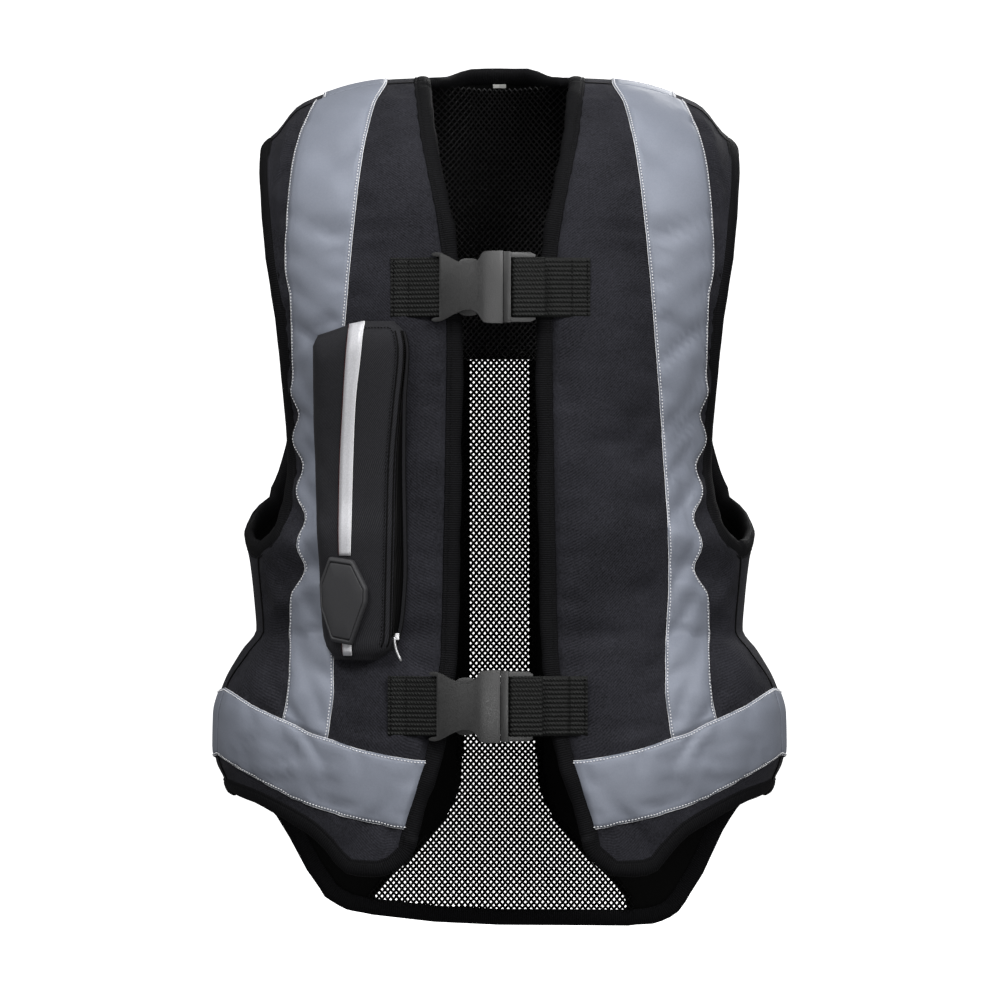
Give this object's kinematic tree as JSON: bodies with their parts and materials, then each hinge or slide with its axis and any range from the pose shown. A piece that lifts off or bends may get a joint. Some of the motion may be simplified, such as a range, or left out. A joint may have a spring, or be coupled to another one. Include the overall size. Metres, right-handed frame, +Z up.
{
  "type": "motorcycle airbag vest",
  "caption": "Sleeveless padded airbag vest held in its worn shape, with a mesh back, reflective tape, a chest pocket and side-release buckles.",
  "frame": {"origin": "midway between the shoulders, at the height where they rest on a wearer's shoulders", "axes": "+Z up along the back, +X to the viewer's right as seen from the front, the front faces -Y"},
  "size_m": [0.4232, 0.2636, 0.6466],
  "materials": {
    "shell_fabric": "woven twill",
    "binding_fabric": "woven tape",
    "reflective_tape": "satin reflective",
    "net_mesh": "open mesh",
    "pocket_fabric": "woven twill",
    "pocket_tape": "satin reflective",
    "zip_tape": "coil zip",
    "zip_metal": "satin",
    "badge_rubber": "matt",
    "buckle_plastic": "fine grain",
    "webbing": "ribbed weave",
    "label": "plain"
  },
  "bodies": {
    "root": {"armhole_binding_left": "binding_fabric", "armhole_binding_right": "binding_fabric", "back_band_left": "reflective_tape", "back_band_right": "reflective_tape", "back_hem_binding": "binding_fabric", "back_neck_binding": "binding_fabric", "back_net": "net_mesh", "back_panel": "shell_fabric", "back_stripe_left": "reflective_tape", "back_stripe_right": "reflective_tape", "front_band_left": "reflective_tape", "front_band_right": "reflective_tape", "front_edge_binding_left": "binding_fabric", "front_edge_binding_right": "binding_fabric", "front_panel_left": "shell_fabric", "front_panel_right": "shell_fabric", "front_stripe_left": "reflective_tape", "front_stripe_right": "reflective_tape", "lower_buckle_plug": "buckle_plastic", "lower_buckle_socket": "buckle_plastic", "lower_buckle_webbing_left": "webbing", "lower_buckle_webbing_right": "webbing", "neck_label": "label", "pocket_badge": "badge_rubber", "pocket_body": "pocket_fabric", "pocket_stripe": "pocket_tape", "pocket_stripe_tab": "pocket_tape", "pocket_zip": "zip_tape", "upper_buckle_plug": "buckle_plastic", "upper_buckle_socket": "buckle_plastic", "upper_buckle_webbing_left": "webbing", "upper_buckle_webbing_right": "webbing", "zip_pull": "zip_metal"}
  },
  "joints": []
}
